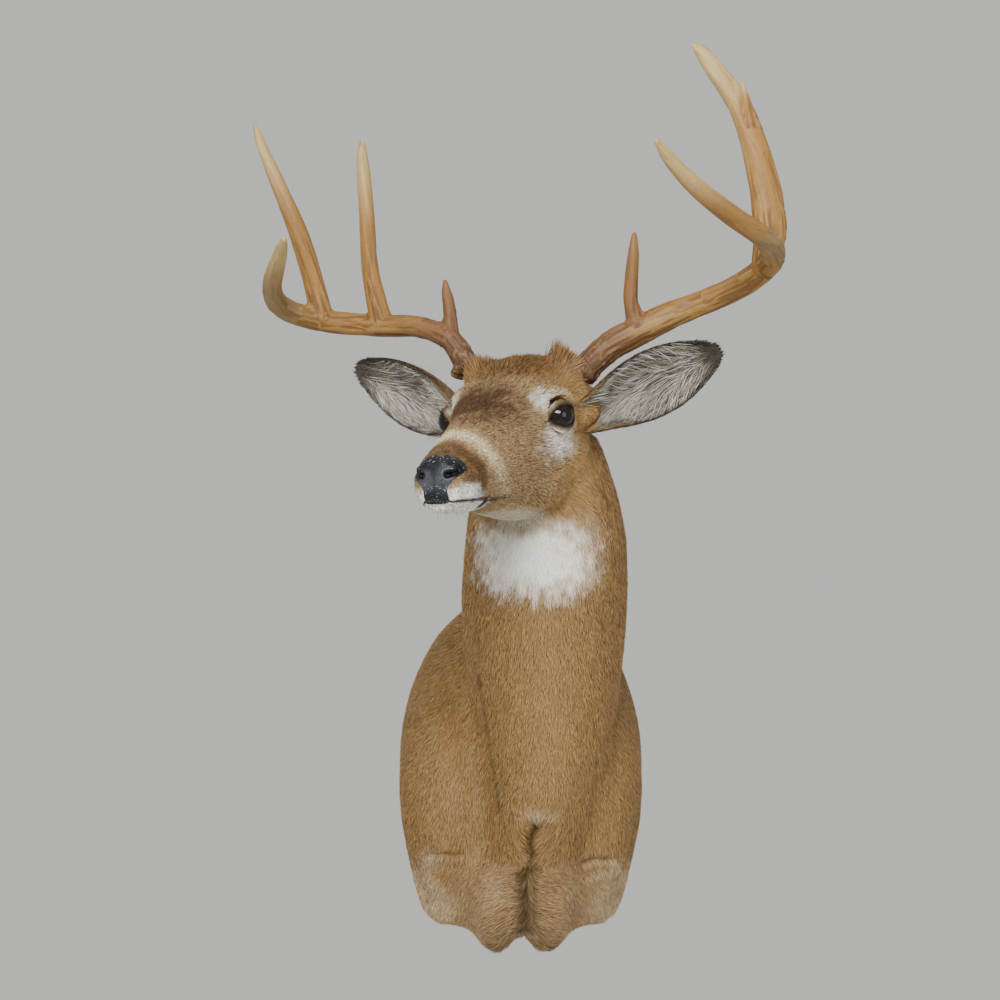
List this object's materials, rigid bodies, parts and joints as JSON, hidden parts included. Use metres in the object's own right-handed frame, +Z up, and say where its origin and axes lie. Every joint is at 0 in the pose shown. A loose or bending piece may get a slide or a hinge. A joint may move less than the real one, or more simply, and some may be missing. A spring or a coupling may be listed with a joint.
{
  "type": "whitetail deer shoulder mount",
  "caption": "Life-size wall mount of an antlered deer's head, neck and shoulders, head turned to one side, on a hidden back board.",
  "frame": {"origin": "in the back board's flat back face, which lies against the wall, on the board's middle line and 15.5 mm below its mid height", "axes": "+Y into the wall, +Z up, +X to the buck's left, so the mount faces -Y"},
  "size_m": [0.5451, 0.5485, 0.9519],
  "materials": {
    "coat_tan": "short tan guard hair",
    "coat_face": "short grizzled grey-brown hair",
    "coat_white": "short white hair",
    "ear_fur": "thin skin with long pale hairs inside and brown hair behind",
    "nose_leather": "pebbled, slightly moist black",
    "eye_glass": "polished dark brown glass eye, backed so that no light passes",
    "antler_bone": "dry bone, brown stained and grooved with pale tips",
    "plywood": "bare sanded"
  },
  "bodies": {
    "root": {"trunk": "coat_tan", "neck": "coat_tan", "head": "coat_face", "muzzle": "coat_face", "lower_jaw": "coat_white", "nose_pad": "nose_leather", "ear_left": "ear_fur", "ear_right": "ear_fur", "eye_left": "eye_glass", "eye_right": "eye_glass", "antler_left_base": "antler_bone", "antler_left_brow_tine": "antler_bone", "antler_left_beam": "antler_bone", "antler_left_tine": "antler_bone", "antler_right_base": "antler_bone", "antler_right_brow_tine": "antler_bone", "antler_right_second_tine": "antler_bone", "antler_right_third_tine": "antler_bone", "antler_right_beam": "antler_bone", "back_board": "plywood"}
  },
  "joints": []
}
